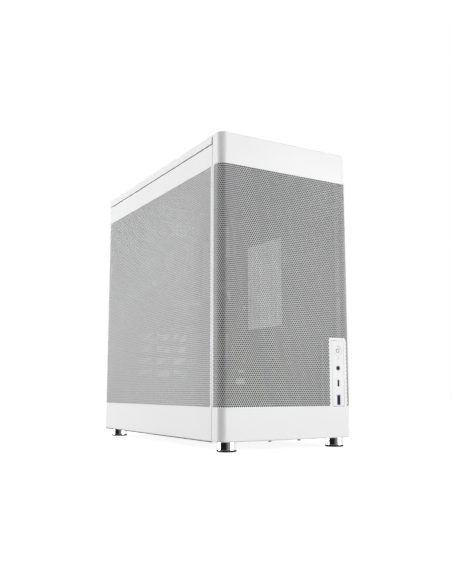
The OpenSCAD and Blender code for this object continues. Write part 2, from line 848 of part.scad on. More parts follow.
module psu_inlet() {
    y1 = psu_y + psu_d;
    x = psu_inlet_x;
    z = psu_inlet_z;
    color("black") difference() {
        union() {
            block([x - 13.5, y1 - 20, z - 9.7], [x + 13.5, y1 + 1, z + 9.7]);
            block([x - 15.5, y1, z - 11.5], [x + 15.5, y1 + 2.5, z + 11.5]);
        }
        block([x - 12, y1 - 16, z - 8], [x + 12, y1 + 4, z + 8]);
    }
    color("silver") for (p = [[-7, 2], [0, -2], [7, 2]])
        block([x + p[0] - 1, y1 - 18, z + p[1] - 2], [x + p[0] + 1, y1 - 3, z + p[1] + 2]);
}

switch_y = y_wall - sheet - 2;
switch_tilt = 11;

// Rocker whose pin lies along X
module psu_switch() {
    color("black") translate([psu_switch_x, switch_y, psu_inlet_z]) rotate([switch_tilt, 0, 0]) {
        difference() {
            union() {
                block([-4.6, -5, -7.6], [4.6, 3.6, 7.6]);
                rod([-5.8, 0, 0], 1.5, 11.6, "x");
            }
            translate([-6, 12.5, 0]) rotate([0, 90, 0]) cylinder(r = 10, h = 12);
        }
    }
}

// ---------- dust filter ----------

filter_y = psu_y + 3;
filter_high = filter_low + 2.8;

module dust_filter() {
    y1 = y_wall;
    color("white") difference() {
        union() {
            block([filter_x[0], filter_y, filter_low], [filter_x[1], y1, filter_high]);
            block([psu_cx - 22, y1 - eps, filter_low], [psu_cx + 22, y_back - 0.6, filter_high]);
        }
        block([filter_x[0] + 5, filter_y + 5, filter_low - 1],
            [filter_x[1] - 5, y1 - 5, filter_high + 1]);
    }
}

module filter_mesh() {
    color("gray") block([filter_x[0] + 5, filter_y + 5, filter_low + 1],
        [filter_x[1] - 5, y_wall - 5, filter_low + 1.6]);
}

// ---------- hard drive ----------

module drive_cage() {
    x = drive_w / 2;
    y0 = drive_y - 2;
    y1 = drive_y + drive_d;
    color("white") difference() {
        union() {
            block([-x - sheet, y0, z_floor], [x + sheet, y1, z_floor + sheet]);
            for (s = [-x - sheet, x])
                block([s, y0, z_floor], [s + sheet, y1, z_floor + cage_h]);
        }
        for (p = drive_spots) rod([p[0] * (x + 0.5) - 2, p[1], drive_z + 6.4], 1.9, 4, "x");
        for (y = [y0 + 55, y0 + 85])
            block([-x - 2, y, z_floor + 10], [x + 2, y + 20, z_floor + 30]);
    }
}

module hard_drive() {
    x = drive_w / 2;
    color("silver") difference() {
        block([-x, drive_y, drive_z], [x, drive_y + drive_d, drive_z + drive_h]);
        for (p = drive_spots) rod([p[0] * x - 5, p[1], drive_z + 6.4], 1.7, 10, "x");
        block([-42, drive_y + drive_d - 4, drive_z - 1], [20, drive_y + drive_d + 1, drive_z + 6]);
    }
}

module drive_screws() {
    color("dimgray") for (p = drive_spots)
        translate([p[0] * (drive_w / 2 + sheet), p[1], drive_z + 6.4])
            rotate([0, p[0] * 90, 0]) screw(3.4, 1.8, 1.6, 5);
}

// ---------- cables ----------

psu_front = psu_y;

module power_cables() {
    board_route = [[x_board - 26, 13, 250], [16, 12, 244], [14, 4, 225], [20, -6, 190],
        [26, -10, 150], [26, -8, 110], [24, 8, 76], [24, 30, 62], [24, psu_front, 60]];
    chip_route = [[x_board - 26, 121, 329], [14, 120, 336], [8, 112, 350], [8, 80, 360],
        [8, 30, 360], [8, -12, 352], [10, -26, 320], [12, -28, 250], [12, -26, 150],
        [8, -14, 90], [6, 10, 66], [6, 30, 60], [6, psu_front, 60]];
    color("white") {
        tube(smooth(board_route, 4), 5);
        tube(smooth(chip_route, 4), 3.2);
    }
}

module drive_cables() {
    y0 = drive_y + drive_d - 4;
    power_route = [[-30, y0, drive_z + 2.5], [-30, 12, drive_z + 4], [-34, 26, 28], [-34, 38, 36],
        [-34, psu_front, 40]];
    data_route = [[8, y0, drive_z + 2.5], [8, 8, drive_z + 4], [12, 16, 36], [26, 0, 70],
        [34, -8, 110], [34, -8, 150], [34, -2, 172], [36, 6, 178], [x_board - 9, 13, 178]];
    color("white") {
        tube(smooth(power_route, 4), 2.4);
        tube(smooth(data_route, 4), 2.4);
    }
}

module front_io_leads() {
    y0 = y_io_board + 1.6;
    usb_route = [[strip_x, y0, 70], [strip_x, -160, 70], [76, -140, 74], [76, -80, 82],
        [76, -20, 90], [74, 16, 94], [68, 32, 94], [56, 36, 94], [46, 42, 98],
        [36, 52, 106], [32, 60, 116], [x_board - 9, 63, 121]];
    audio_route = [[strip_x, y0, 100], [strip_x, -160, 100], [84, -140, 96], [84, -80, 96],
        [84, -20, 98], [80, 26, 98], [68, 44, 98], [56, 47, 98], [46, 54, 98],
        [34, 66, 104], [32, 76, 110], [x_board - 9, 79, 114.5]];
    color("white") {
        tube(smooth(usb_route, 4), 2);
        tube(smooth(audio_route, 4), 1.6);
    }
}

front_panel();
front_studs();
left_panel();
left_studs();
right_panel();
right_studs();
top_cover();
top_studs();
chassis_floor();
chassis_front_frame();
chassis_rear_wall();
chassis_top_frame();
motherboard_tray();
snap_sockets();
foot_rings();
foot_pads();
foot_screws();
frame_screws();
io_strip();
io_board();
audio_jack();
usb_c_port();
usb_a_port();
power_button();
reset_button();
slot_covers();
slot_screws();
motherboard();
standoffs();
board_screws();
io_shield();
rear_sockets();
processor();
cooler_base();
cooler_fins();
cooler_fan_frame();
cooler_fan_rotor();
board_slots();
memory_modules();
board_heatsinks();
storage_module();
board_connectors();
coin_cell();
psu_case();
psu_fan_frame();
psu_fan_rotor();
psu_guard();
psu_inlet();
psu_switch();
dust_filter();
filter_mesh();
rear_fan_frame();
rear_fan_rotor();
rear_screws();
drive_cage();
hard_drive();
drive_screws();
power_cables();
drive_cables();
front_io_leads();
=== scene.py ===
"""Looks of the desktop computer tower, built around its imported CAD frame. Lengths are in metres."""

import json
import math

import bpy
import numpy as np
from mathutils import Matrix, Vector
from mathutils.geometry import tessellate_polygon


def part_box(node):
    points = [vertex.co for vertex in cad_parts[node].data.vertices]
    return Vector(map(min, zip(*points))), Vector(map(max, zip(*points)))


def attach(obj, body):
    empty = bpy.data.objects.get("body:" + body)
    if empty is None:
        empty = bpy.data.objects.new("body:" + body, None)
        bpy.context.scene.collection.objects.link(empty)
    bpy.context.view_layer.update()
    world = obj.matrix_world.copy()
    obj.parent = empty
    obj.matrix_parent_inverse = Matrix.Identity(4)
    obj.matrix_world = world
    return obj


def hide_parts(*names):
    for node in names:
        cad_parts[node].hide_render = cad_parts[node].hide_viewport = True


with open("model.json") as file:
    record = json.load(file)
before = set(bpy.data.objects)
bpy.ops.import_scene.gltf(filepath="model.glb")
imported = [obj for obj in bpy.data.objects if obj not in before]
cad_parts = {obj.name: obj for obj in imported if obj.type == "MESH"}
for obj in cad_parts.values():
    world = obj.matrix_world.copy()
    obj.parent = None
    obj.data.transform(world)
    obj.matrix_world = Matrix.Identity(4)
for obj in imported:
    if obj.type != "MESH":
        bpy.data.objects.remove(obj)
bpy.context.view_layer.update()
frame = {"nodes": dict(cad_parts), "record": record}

MM = 0.001

# ---------------------------------------------------------------- places, read from the frame

body_low, body_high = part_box("front_panel")
side_low, side_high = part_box("right_panel")
top_low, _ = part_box("top_cover")
strip_low, strip_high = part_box("io_strip")

X_OUT = side_high.x
Y_FRONT = body_low.y
Y_SEAM = side_low.y
Y_BACK = side_high.y
Z_LOW = side_low.z
Z_SIDE = side_high.z
Z_TOP = body_high.z

# ---------------------------------------------------------------- sizes that only the looks need

# Sheet thickness. The CAD's is 1.2 mm; it is less here, so that the mesh has the photo's contrast.
SKIN = 0.8 * MM
# Outer radius of the front panel's two upright corners, and of the folds along every edge
CORNER_R = 10 * MM
BEND_R = 1.3 * MM
# Distance between neighbouring holes, and from a hole's middle to its corners. Both radii were
# chosen to give the photo's average tones, not measured.
PITCH = 2.83 * MM
HOLE_R = 1.24 * MM
FRONT_HOLE_R = 1.35 * MM
# Plain bands above and below the mesh, the first steps of a fold, and plain metal past the holes
BAND = 40 * MM
EASE = 0.3 * MM
RIM = 1.5 * MM
# Width of the face of the socket strip, whose node is wider because of its ears
STRIP_WIDTH = 19 * MM
strip_right = strip_low.x + STRIP_WIDTH
# Woven filter behind the front mesh: width of a thread, and from one thread to the next
FILTER_THREAD = 0.26 * MM
FILTER_STEP = 0.8 * MM
# Below this area a face is part of the web between holes, which stays flat-shaded
WEB_AREA = 2e-6


# ---------------------------------------------------------------- materials

def material(name, base, roughness, metallic=0.0, spread=0.04, grain=1500.0, bump=0.03,
             stretch=(1, 1, 1), scuff=0.06, coat=0.0):
    """A surface with fine grain, slow colour changes and scuffs; grain is in cells per metre."""
    mat = bpy.data.materials.new(name)
    mat.use_nodes = True
    nodes, links = mat.node_tree.nodes, mat.node_tree.links
    shader = nodes["Principled BSDF"]
    shader.inputs["Metallic"].default_value = metallic
    shader.inputs["Coat Weight"].default_value = coat
    place = nodes.new("ShaderNodeTexCoord")
    mapping = nodes.new("ShaderNodeMapping")
    mapping.inputs["Scale"].default_value = stretch
    links.new(place.outputs["Object"], mapping.inputs["Vector"])

    fine = nodes.new("ShaderNodeTexNoise")
    fine.inputs["Scale"].default_value = grain
    fine.inputs["Detail"].default_value = 2.0
    links.new(mapping.outputs["Vector"], fine.inputs["Vector"])

    slow = nodes.new("ShaderNodeTexNoise")
    slow.inputs["Scale"].default_value = 14.0
    slow.inputs["Detail"].default_value = 5.0
    links.new(place.outputs["Object"], slow.inputs["Vector"])

    colours = nodes.new("ShaderNodeValToRGB")
    low = [c * (1 - spread) for c in base]
    high = [min(1.0, c * (1 + spread * 0.5)) for c in base]
    colours.color_ramp.elements[0].position = 0.3
    colours.color_ramp.elements[0].color = (*low, 1)
    colours.color_ramp.elements[1].position = 0.7
    colours.color_ramp.elements[1].color = (*high, 1)
    links.new(slow.outputs["Fac"], colours.inputs["Fac"])
    links.new(colours.outputs["Color"], shader.inputs["Base Color"])

    rough = nodes.new("ShaderNodeMapRange")
    rough.inputs["From Min"].default_value = 0.3
    rough.inputs["From Max"].default_value = 0.7
    rough.inputs["To Min"].default_value = max(0.02, roughness - scuff)
    rough.inputs["To Max"].default_value = min(1.0, roughness + scuff)
    links.new(slow.outputs["Fac"], rough.inputs["Value"])
    links.new(rough.outputs["Result"], shader.inputs["Roughness"])

    relief = nodes.new("ShaderNodeBump")
    relief.inputs["Strength"].default_value = bump
    relief.inputs["Distance"].default_value = 0.2 * MM
    links.new(fine.outputs["Fac"], relief.inputs["Height"])
    links.new(relief.outputs["Normal"], shader.inputs["Normal"])
    return mat


WHITE_COAT = material("white_coat", (0.86, 0.86, 0.865), 0.42, bump=0.05, spread=0.012)
CHASSIS_COAT = material("chassis_coat", (0.05, 0.05, 0.053), 0.55, bump=0.12)
PSU_COAT = material("psu_coat", (0.022, 0.022, 0.023), 0.5, bump=0.12)
WHITE_PLASTIC = material("white_plastic", (0.83, 0.83, 0.835), 0.4)
GREY_PLASTIC = material("grey_plastic", (0.16, 0.16, 0.165), 0.45)
BLACK_PLASTIC = material("black_plastic", (0.016, 0.016, 0.018), 0.4)
CHROME = material("chrome", (0.86, 0.87, 0.89), 0.1, metallic=1.0, bump=0.0, scuff=0.04)
RUBBER = material("rubber", (0.02, 0.02, 0.021), 0.7)
SCREW = material("screw_steel", (0.28, 0.28, 0.3), 0.35, metallic=1.0)
# Darker than bare nickel: painted shade for the dark inside of the sockets
DARKENED_NICKEL = material("nickel_darkened_for_shade", (0.2, 0.2, 0.2), 0.3, metallic=1.0)
BLUE = material("blue_plastic", (0.008, 0.005, 0.06), 0.8)
BOARD = material("board", (0.018, 0.019, 0.02), 0.35)
GREEN = material("green_board", (0.015, 0.09, 0.04), 0.35)
BRASS = material("brass", (0.72, 0.52, 0.24), 0.3, metallic=1.0)
ALUMINIUM = material("aluminium", (0.5, 0.51, 0.52), 0.38, metallic=1.0, stretch=(1, 1, 0.05))
CAST = material("cast_aluminium", (0.36, 0.37, 0.38), 0.5, metallic=1.0, bump=0.15)
NYLON = material("nylon", (0.04, 0.04, 0.042), 0.8)
SLEEVE = material("sleeve", (0.02, 0.02, 0.021), 0.8)

SLOT_MATERIALS = {
    "white_panel": WHITE_COAT, "dark_chassis": CHASSIS_COAT, "white_plastic": WHITE_PLASTIC,
    "grey_plastic": GREY_PLASTIC, "black_plastic": BLACK_PLASTIC, "foot_chrome": CHROME,
    "foot_rubber": RUBBER, "screw_steel": SCREW, "socket_steel": DARKENED_NICKEL, "blue_plastic": BLUE,
    "circuit_board": BOARD, "green_board": GREEN, "brass": BRASS, "fin_aluminium": ALUMINIUM,
    "drive_aluminium": CAST, "psu_steel": PSU_COAT, "filter_nylon": NYLON,
    "cable_sleeve": SLEEVE,
}


def dress_cad_nodes():
    """Gives every CAD node the material of its slot."""
    for part in frame["record"]["subparts"]:
        obj = frame["nodes"][part["node"]]
        obj.data.materials.clear()
        obj.data.materials.append(SLOT_MATERIALS[part["material_slot"]])


# ---------------------------------------------------------------- meshes

def mesh_from_faces(name, points, groups):
    """A mesh from an array of points and arrays of faces, one array for each number of corners."""
    groups = [np.asarray(g, np.int64) for g in groups if len(g)]
    corners = np.concatenate([g.ravel() for g in groups])
    sizes = np.concatenate([np.full(len(g), g.shape[1]) for g in groups])
    mesh = bpy.data.meshes.new(name)
    mesh.vertices.add(len(points))
    mesh.vertices.foreach_set("co", np.asarray(points, np.float32).ravel())
    mesh.loops.add(len(corners))
    mesh.loops.foreach_set("vertex_index", corners.astype(np.int32))
    mesh.polygons.add(len(sizes))
    starts = np.concatenate([[0], np.cumsum(sizes)[:-1]])
    mesh.polygons.foreach_set("loop_start", starts.astype(np.int32))
    mesh.update(calc_edges=True)
    return mesh


def show(name, mesh, mat, body, slot, *replaced):
    """Puts a mesh in the scene as a piece on a CAD body."""
    mesh.materials.append(mat)
    obj = bpy.data.objects.new(name, mesh)
    bpy.context.scene.collection.objects.link(obj)
    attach(obj, body)
    if replaced:
        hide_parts(*replaced)
    return obj


class Sheet:
    """The outer face of a metal sheet, flattened: points (u, v) and faces that run anticlockwise."""

    def __init__(self):
        self.points = np.zeros((0, 2))
        self.faces = {}

    def add_points(self, points):
        first = len(self.points)
        self.points = np.vstack([self.points, np.asarray(points, float).reshape(-1, 2)])
        return np.arange(first, len(self.points))

    def add_faces(self, faces):
        faces = np.asarray(faces, np.int64)
        if len(faces):
            old = self.faces.get(faces.shape[1])
            self.faces[faces.shape[1]] = faces if old is None else np.vstack([old, faces])

    def strip(self, lower, upper):
        """Joins two lines of points; upper lies to the left of the way that lower runs."""
        self.add_faces(np.stack([lower[:-1], lower[1:], upper[1:], upper[:-1]], 1))

    def extend(self, line, axis, steps):
        """Carries an edge line outwards to each value of u (axis 0) or v (axis 1) in steps."""
        for value in steps:
            moved = self.points[line].copy()
            outwards = value > moved[0, axis]
            moved[:, axis] = value
            fresh = self.add_points(moved)
            if outwards == (axis == 1):
                self.strip(line, fresh)
            else:
                self.strip(fresh, line)
            line = fresh
        return line

    def widen(self, line, axis, low, high, shift):
        """The line with an end point added at each end, a hair outside the folded zone."""
        ends = self.points[line[[0, -1]]].copy()
        ends[:, axis] = (low, high)
        ends[:, 1 - axis] += shift
        first, last = self.add_points(ends)
        return np.concatenate([[first], line, [last]])


def perforated(u_range, v_range, pitch, radius):
    """A sheet full of staggered six-sided holes over a rectangle, with its four edge lines."""
    sheet = Sheet()
    row_step = pitch * math.sqrt(3) / 2
    columns = int((u_range[1] - u_range[0] - 0.5 * pitch) / pitch)
    rows = int((v_range[1] - v_range[0] - 2 * radius) / row_step) + 1
    u_first = (sum(u_range) - (columns - 0.5) * pitch) / 2
    v_first = (sum(v_range) - (rows - 1) * row_step) / 2
    j, i = np.mgrid[0:rows, 0:columns]
    centres = np.stack([u_first + (i + 0.5 * (j % 2)) * pitch, v_first + j * row_step], -1)
    angles = np.radians(30 + 60 * np.arange(6))
    rim = radius * np.stack([np.cos(angles), np.sin(angles)], -1)
    hole = sheet.add_points(centres[:, :, None, :] + rim).reshape(rows, columns, 6)

    def neighbour(di_even, di_odd, dj, corner):
        """The given corner of each hole's neighbour, or -1 where there is none."""
        out = np.full((rows, columns), -1)
        cols = np.arange(columns)
        for row in range(rows - dj):
            di = di_odd if row % 2 else di_even
            ok = (cols + di >= 0) & (cols + di < columns)
            out[row, ok] = hole[row + dj, cols[ok] + di, corner]
        return out

    def web(*corners):
        there = np.all([c >= 0 for c in corners], 0)
        sheet.add_faces(np.stack([c[there] for c in corners], 1))

    own = [hole[:, :, k] for k in range(6)]
    right_2, right_3 = neighbour(1, 1, 0, 2), neighbour(1, 1, 0, 3)
    over_3, over_4 = neighbour(0, 1, 1, 3), neighbour(0, 1, 1, 4)
    back_4, back_5 = neighbour(-1, 0, 1, 4), neighbour(-1, 0, 1, 5)
    web(own[5], right_3, right_2, own[0])
    web(own[0], over_4, over_3, own[1])
    web(own[1], back_5, back_4, own[2])
    web(own[0], right_2, over_4)
    web(own[1], over_3, back_5)

    def edge_points(index, axis, value):
        points = sheet.points[index].copy()
        points[:, axis] = value
        return sheet.add_points(points)

    low, high = hole[0][:, [3, 4, 5]].ravel(), hole[-1][:, [2, 1, 0]].ravel()
    near, far = hole[:, 0][:, [3, 2]].ravel(), hole[:, -1][:, [5, 0]].ravel()
    v_range = (v_range[0] - RIM, v_range[1] + RIM)
    low_edge, high_edge = edge_points(low, 1, v_range[0]), edge_points(high, 1, v_range[1])
    near_edge, far_edge = edge_points(near, 0, u_range[0]), edge_points(far, 0, u_range[1])
    corners = sheet.add_points([(u, v) for v in v_range for u in u_range])
    sheet.strip(low_edge, low)
    sheet.strip(high, high_edge)
    for row in range(rows):
        a, b = 2 * row, 2 * row + 1
        sheet.add_faces([[near_edge[a], near[a], near[b], near_edge[b]],
                         [far[a], far_edge[a], far_edge[b], far[b]]])
        if row + 1 == rows:
            break
        left = [near_edge[b], near[b], near[b + 1], near_edge[b + 1]]
        right = [far[b], far_edge[b], far_edge[b + 1], far[b + 1]]
        if row % 2 == 0:
            left.insert(2, hole[row, 0, 1])
            right.append(hole[row + 1, -1, 4])
        else:
            left.insert(2, hole[row + 1, 0, 4])
            right.insert(0, hole[row, -1, 1])
        sheet.add_faces([left, right])
    sheet.add_faces([[corners[0], low_edge[0], low[0], near_edge[0]],
                     [low_edge[-1], corners[1], far_edge[0], low[-1]],
                     [near_edge[-1], high[0], high_edge[0], corners[2]],
                     [high[-1], far_edge[-1], corners[3], high_edge[-1]]])
    lines = {
        "low": np.concatenate([corners[:1], low_edge, corners[1:2]]),
        "high": np.concatenate([corners[2:3], high_edge, corners[3:]]),
        "near": np.concatenate([corners[:1], near_edge, corners[2:3]]),
        "far": np.concatenate([corners[1:2], far_edge, corners[3:]]),
    }
    return sheet, lines, hole, centres


def open_edges(groups, count):
    """The edges that have a face on one side only, each running the way its face does."""
    a = np.concatenate([g.ravel() for g in groups])
    b = np.concatenate([np.roll(g, -1, axis=1).ravel() for g in groups])
    key = np.minimum(a, b) * count + np.maximum(a, b)
    _, first, times = np.unique(key, return_index=True, return_counts=True)
    single = first[times == 1]
    return np.stack([a[single], b[single]], 1)


def cut_rectangle(sheet, hole, centres, u_range, v_range, margin):
    """Cuts a rectangle out of a perforated sheet and leaves plain metal round it."""
    u, v = centres[..., 0], centres[..., 1]
    inside = ((u > u_range[0] - margin) & (u < u_range[1] + margin)
              & (v > v_range[0] - margin) & (v < v_range[1] + margin))
    gone = np.zeros(len(sheet.points), bool)
    gone[hole[inside].ravel()] = True
    lost = []
    for size, faces in sheet.faces.items():
        keep = ~gone[faces].any(1)
        lost.append(faces[~keep].ravel())
        sheet.faces[size] = faces[keep]
    edges = open_edges(list(sheet.faces.values()), len(sheet.points))
    following = dict(zip(edges[:, 0].tolist(), edges[:, 1].tolist()))
    lost = np.unique(np.concatenate(lost)).tolist()
    start = next(p for p in lost if p in following and not gone[p])
    loop = [start]
    while following[loop[-1]] != start:
        loop.append(following[loop[-1]])
    rim = sheet.add_points([(u_range[0], v_range[0]), (u_range[1], v_range[0]),
                            (u_range[1], v_range[1]), (u_range[0], v_range[1])])
    index = np.array(loop + rim.tolist())
    flat = [[(*sheet.points[p], 0.0) for p in part] for part in (loop, rim)]
    triangles = np.array(tessellate_polygon(flat))
    corners = sheet.points[index[triangles]]
    first, second = corners[:, 1] - corners[:, 0], corners[:, 2] - corners[:, 0]
    turned = first[:, 0] * second[:, 1] < first[:, 1] * second[:, 0]
    triangles[turned] = triangles[turned][:, ::-1]
    sheet.add_faces(index[triangles])


def fold(value, low, high):
    """Bends a coordinate round both edges: its place, its depth, and the outer face's normal."""
    place, depth = np.clip(value, low, high), np.zeros_like(value)
    along, out = np.zeros_like(value), np.ones_like(value)
    for edge, sign in ((low, -1), (high, 1)):
        over = sign * (value - edge)
        bent = over > 0
        angle = np.minimum(over[bent] / BEND_R, math.pi / 2)
        straight = np.maximum(over[bent] - BEND_R * math.pi / 2, 0)
        place[bent] = edge + sign * BEND_R * np.sin(angle)
        depth[bent] = BEND_R * (1 - np.cos(angle)) + straight
        along[bent] = sign * np.sin(angle)
        out[bent] = np.cos(angle)
    return place, depth, along, out


def folded(u, v, u_edges, v_edges, depth):
    """Both folds together, with the corners left square: u, v and the way inwards."""
    v_place, v_depth, v_way, v_out = fold(v, *v_edges)
    beyond = (v < v_edges[0]) | (v > v_edges[1])
    u_place, u_depth, u_way, u_out = fold(u, *u_edges)
    u_place = np.where(beyond, u, u_place)
    u_depth, u_way = np.where(beyond, 0, u_depth), np.where(beyond, 0, u_way)
    out = np.where(beyond, v_out, u_out)
    return u_place - u_way * depth, v_place - v_way * depth, u_depth + v_depth + out * depth


def bend_steps(edge, sign, flange):
    """Places along a coordinate that carry a sheet round a bend and along its flange."""
    arc = BEND_R * math.pi / 2
    return [edge + sign * arc * k / 3 for k in (1, 2, 3)] + [edge + sign * (arc + flange)]


def smooth_by_angle(mesh, degrees):
    """Smooth shading, except across edges sharper than the angle."""
    mesh.polygons.foreach_set("use_smooth", np.ones(len(mesh.polygons), bool))
    mesh.set_sharp_from_angle(angle=math.radians(degrees))


def curved_and_plain(mesh, walls):
    """Which faces are smooth: those on a bend, away from the holes and the sheet's edges."""
    count = len(mesh.polygons)
    normals, sizes = np.empty(3 * count, np.float32), np.empty(count, np.int32)
    mesh.polygons.foreach_get("normal", normals)
    mesh.polygons.foreach_get("loop_total", sizes)
    areas = np.empty(count, np.float32)
    mesh.polygons.foreach_get("area", areas)
    bent = abs(normals.reshape(-1, 3)).max(1) < 0.9995
    smooth = bent & (sizes == 4) & (areas > WEB_AREA)
    smooth[count - walls:] = False
    return smooth


def sheet_mesh(name, sheet, place, low, high):
    """The solid sheet of the faces whose middle lies between two heights v."""
    groups = []
    for faces in sheet.faces.values():
        middle = sheet.points[faces][:, :, 1].mean(1)
        groups.append(faces[(middle >= low) & (middle < high)])
    groups = [g for g in groups if len(g)]
    used = np.unique(np.concatenate([g.ravel() for g in groups]))
    renumber = np.full(len(sheet.points), -1)
    renumber[used] = np.arange(len(used))
    groups = [renumber[g] for g in groups]
    flat, count = sheet.points[used], len(used)
    points = np.vstack([place(flat[:, 0], flat[:, 1], depth) for depth in (0.0, SKIN)])
    edges = open_edges(groups, count)
    walls = np.stack([edges[:, 0], edges[:, 0] + count, edges[:, 1] + count, edges[:, 1]], 1)
    backs = [g[:, ::-1] + count for g in groups]
    mesh = mesh_from_faces(name, points, groups + backs + [walls])
    mesh.polygons.foreach_set("use_smooth", curved_and_plain(mesh, len(walls)))
    corners = np.empty(len(mesh.loops), np.int32)
    mesh.loops.foreach_get("vertex_index", corners)
    spread = (flat - flat.min(0)) / np.ptp(flat, axis=0).max()
    uv = mesh.uv_layers.new(name="OFBake")
    uv.data.foreach_set("uv", np.vstack([spread, spread])[corners].astype(np.float32).ravel())
    return mesh


def show_sheet(name, sheet, place, parts, body, node):
    """Shows a sheet in a few pieces, one above the other along v."""
    low, high = sheet.points[:, 1].min(), sheet.points[:, 1].max()
    limits = [low + (high - low) * k / parts for k in range(parts + 1)]
    limits[0], limits[-1] = -math.inf, math.inf
    for k in range(parts):
        mesh = sheet_mesh(f"{name}_{k + 1}", sheet, place, limits[k], limits[k + 1])
        show(f"{name}_{k + 1}", mesh, WHITE_COAT, body, "white_panel", node)


# ---------------------------------------------------------------- simple shapes

def mesh_piece(name, points, faces, mat, body, slot, *replaced, smooth=None):
    """A piece made from points and faces; smooth is the angle for smooth shading."""
    mesh = bpy.data.meshes.new(name)
    mesh.from_pydata([tuple(p) for p in points], [], faces)
    if smooth:
        smooth_by_angle(mesh, smooth)
    return show(name, mesh, mat, body, slot, *replaced)


def box_parts(low, high):
    """Points and faces of a box."""
    points = [(x, y, z) for z in (low[2], high[2]) for y in (low[1], high[1])
              for x in (low[0], high[0])]
    faces = [(0, 2, 3, 1), (4, 5, 7, 6), (0, 1, 5, 4), (1, 3, 7, 5), (3, 2, 6, 7), (2, 0, 4, 6)]
    return points, faces


def boxes(name, corners, mat, body, slot, *replaced, bevel=0.0):
    """One piece made of separate boxes, with their edges rounded by bevel."""
    points, faces = [], []
    for low, high in corners:
        some, walls = box_parts(low, high)
        faces += [tuple(k + len(points) for k in face) for face in walls]
        points += some
    obj = mesh_piece(name, points, faces, mat, body, slot, *replaced)
    if bevel:
        rounding = obj.modifiers.new("rounding", "BEVEL")
        rounding.width = bevel
        rounding.segments = 2
    return obj


def turned_parts(profile, sides=48):
    """Points and faces of a profile of (radius, height) turned about +Z; ends at radius 0 close."""
    points, faces, rings = [], [], []
    for radius, height in profile:
        if radius == 0:
            rings.append([len(points)] * sides)
            points.append((0.0, 0.0, height))
            continue
        rings.append([len(points) + k for k in range(sides)])
        points += [(radius * math.cos(2 * math.pi * k / sides),
                    radius * math.sin(2 * math.pi * k / sides), height) for k in range(sides)]
    for low, high in zip(rings, rings[1:]):
        for k in range(sides):
            n = (k + 1) % sides
            face = [low[k], low[n], high[n], high[k]]
            faces.append(tuple(dict.fromkeys(face)))
    return points, faces


def turned(name, places, axis, profile, mat, body, slot, *replaced, sides=48):
    """The same turned shape at several places, standing along an axis, as one piece."""
    turn = Vector(axis).to_track_quat("Z", "Y")
    points, faces = [], []
    for place in places:
        some, walls = turned_parts(profile, sides)
        faces += [tuple(k + len(points) for k in face) for face in walls]
        points += [Vector(place) + turn @ Vector(point) for point in some]
    return mesh_piece(name, points, faces, mat, body, slot, *replaced, smooth=35)


def middle(node):
    """The middle of a CAD node's box."""
    low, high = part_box(node)
    return (low + high) / 2


# ---------------------------------------------------------------- outer panels

def finish_edges(sheet, lines, u_edges, v_edges, u_flanges, v_flanges, ends):
    """Folds the four sides of a perforated sheet; ends are the sheet's full width in u."""
    near = sheet.extend(lines["near"], 0, [u_edges[0] + EASE, u_edges[0]])
    far = sheet.extend(lines["far"], 0, [u_edges[1] - EASE, u_edges[1]])
    low = np.concatenate([[near[0]], lines["low"], [far[0]]])
    high = np.concatenate([[near[-1]], lines["high"], [far[-1]]])
    low_steps, high_steps = [v_edges[0] + EASE, v_edges[0]], [v_edges[1] - EASE, v_edges[1]]
    for value in low_steps:
        low = sheet.extend(low, 1, [value])
        near, far = np.insert(near, 0, low[0]), np.insert(far, 0, low[-1])
    for value in high_steps:
        high = sheet.extend(high, 1, [value])
        near, far = np.append(near, high[0]), np.append(far, high[-1])
    sheet.extend(near, 0, bend_steps(u_edges[0], -1, u_flanges[0]))
    sheet.extend(far, 0, bend_steps(u_edges[1], 1, u_flanges[1]))
    hair = 1e-7
    low = sheet.widen(low, 0, *ends, -hair)
    high = sheet.widen(high, 0, *ends, hair)
    low = sheet.extend(low, 1, bend_steps(v_edges[0], -1, v_flanges[0]))
    high = sheet.extend(high, 1, bend_steps(v_edges[1], 1, v_flanges[1]))
    return low, high


def inner(edges):
    """The range a little inside two fold edges."""
    return edges[0] + 2 * EASE, edges[1] - 2 * EASE


def make_side_panel(name, side, body, node):
    """side is +1 for the right panel and -1 for the left one; u runs to the viewer's right."""
    ends = (Y_SEAM, Y_BACK) if side > 0 else (-Y_BACK, -Y_SEAM)
    u_edges = (ends[0] + BEND_R, ends[1] - BEND_R)
    v_edges = (Z_LOW + BEND_R, Z_SIDE - BEND_R)
    sheet, lines, _, _ = perforated(inner(u_edges), (Z_LOW + BAND, Z_TOP - BAND), PITCH, HOLE_R)
    flange = side_high.x - side_low.x - BEND_R
    finish_edges(sheet, lines, u_edges, v_edges, (flange, flange), (flange, flange), ends)

    def place(u, v, depth):
        y, z, inwards = folded(u, v, u_edges, v_edges, depth)
        return np.stack([side * (X_OUT - inwards), side * y, z], 1)

    show_sheet(name, sheet, place, 3, body, node)


